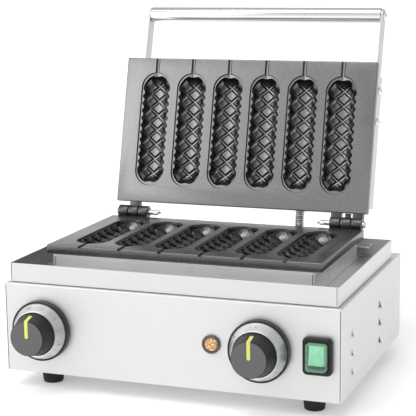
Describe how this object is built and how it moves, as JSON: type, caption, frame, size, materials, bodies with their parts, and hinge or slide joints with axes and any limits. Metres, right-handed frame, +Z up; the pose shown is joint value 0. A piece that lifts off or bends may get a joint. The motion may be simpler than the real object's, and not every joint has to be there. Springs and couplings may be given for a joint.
{
  "type": "corn dog maker",
  "caption": "Countertop waffle iron for corn dogs: steel housing with knobs, lamp and switch, drip tray, and a hinged lid with waffled moulds and a bar handle.",
  "frame": {"origin": "middle of the footprint, knobs and open lid included, on the counter under the feet", "axes": "+X to the right along the front panel, +Y to the back, +Z up"},
  "size_m": [0.386, 0.3854, 0.4019],
  "materials": {
    "brushed_steel": "brushed sheet",
    "tray_steel": "brushed sheet",
    "cover_steel": "satin sheet",
    "bright_steel": "polished",
    "coated_casting": "dark grey non-stick coat, satin",
    "hose_steel": "ribbed metal hose",
    "element_steel": "dull heat-stained steel",
    "black_plastic": "satin",
    "knob_plastic": "matte",
    "dial_metal": "turned",
    "pointer_yellow": "satin",
    "lamp_amber": "clear lens",
    "splash_green": "clear green",
    "rocker_green": "glossy",
    "rubber": "matte",
    "terminal_plastic": "matte"
  },
  "bodies": {
    "base": {"housing_shell": "brushed_steel", "base_plate": "brushed_steel", "foot_front_left": "rubber", "foot_front_right": "rubber", "foot_rear_left": "rubber", "foot_rear_right": "rubber", "foot_screw_front_left": "bright_steel", "foot_screw_front_right": "bright_steel", "foot_screw_rear_left": "bright_steel", "foot_screw_rear_right": "bright_steel", "drip_tray": "tray_steel", "tray_bracket": "tray_steel", "chamber_box": "tray_steel", "lower_mould_plate": "coated_casting", "lower_heating_element": "element_steel", "lower_element_clamp": "brushed_steel", "hinge_pin_left": "bright_steel", "hinge_ring_left": "bright_steel", "hinge_pin_right": "bright_steel", "hinge_ring_right": "bright_steel", "thermostat_body": "black_plastic", "thermostat_bezel": "black_plastic", "thermostat_dial": "dial_metal", "timer_body": "black_plastic", "timer_bezel": "black_plastic", "timer_dial": "dial_metal", "lamp_holder": "bright_steel", "lamp_lens": "lamp_amber", "switch_frame": "black_plastic", "splash_cover": "splash_green", "switch_body": "black_plastic", "deck_gland": "bright_steel", "cord_gland": "black_plastic", "conduit": "hose_steel", "terminal_block": "terminal_plastic"},
    "lid": {"upper_mould_plate": "coated_casting", "upper_heating_element": "element_steel", "upper_element_clamp": "brushed_steel", "lid_cover": "cover_steel", "handle_arm_left": "brushed_steel", "handle_arm_right": "brushed_steel", "handle_tube": "bright_steel", "handle_screw_left": "bright_steel", "arm_screw_left_upper": "bright_steel", "arm_screw_left_lower": "bright_steel", "handle_screw_right": "bright_steel", "arm_screw_right_upper": "bright_steel", "arm_screw_right_lower": "bright_steel", "lid_gland": "bright_steel"},
    "thermostat_knob": {"thermostat_knob": "knob_plastic", "thermostat_pointer": "pointer_yellow", "thermostat_shaft": "bright_steel"},
    "timer_knob": {"timer_knob": "knob_plastic", "timer_pointer": "pointer_yellow", "timer_shaft": "bright_steel"},
    "rocker": {"switch_rocker": "rocker_green"}
  },
  "joints": [
    {"name": "lid_hinge", "type": "hinge", "parent": "base", "child": "lid", "pos_m": [0, 0.07701, 0.1577], "axis": [1, 0, 0], "range_deg": [0, 105], "deforming": ["conduit"]},
    {"name": "thermostat_turn", "type": "hinge", "parent": "base", "child": "thermostat_knob", "pos_m": [-0.145, -0.15399, 0.069], "axis": [0, 1, 0], "range_deg": [0, 300]},
    {"name": "timer_turn", "type": "hinge", "parent": "base", "child": "timer_knob", "pos_m": [0.104, -0.15399, 0.069], "axis": [0, 1, 0], "range_deg": [0, 300]},
    {"name": "switch_tilt", "type": "hinge", "parent": "base", "child": "rocker", "pos_m": [0.1671, -0.15299, 0.069], "axis": [1, 0, 0], "range_deg": [0, 20]}
  ]
}
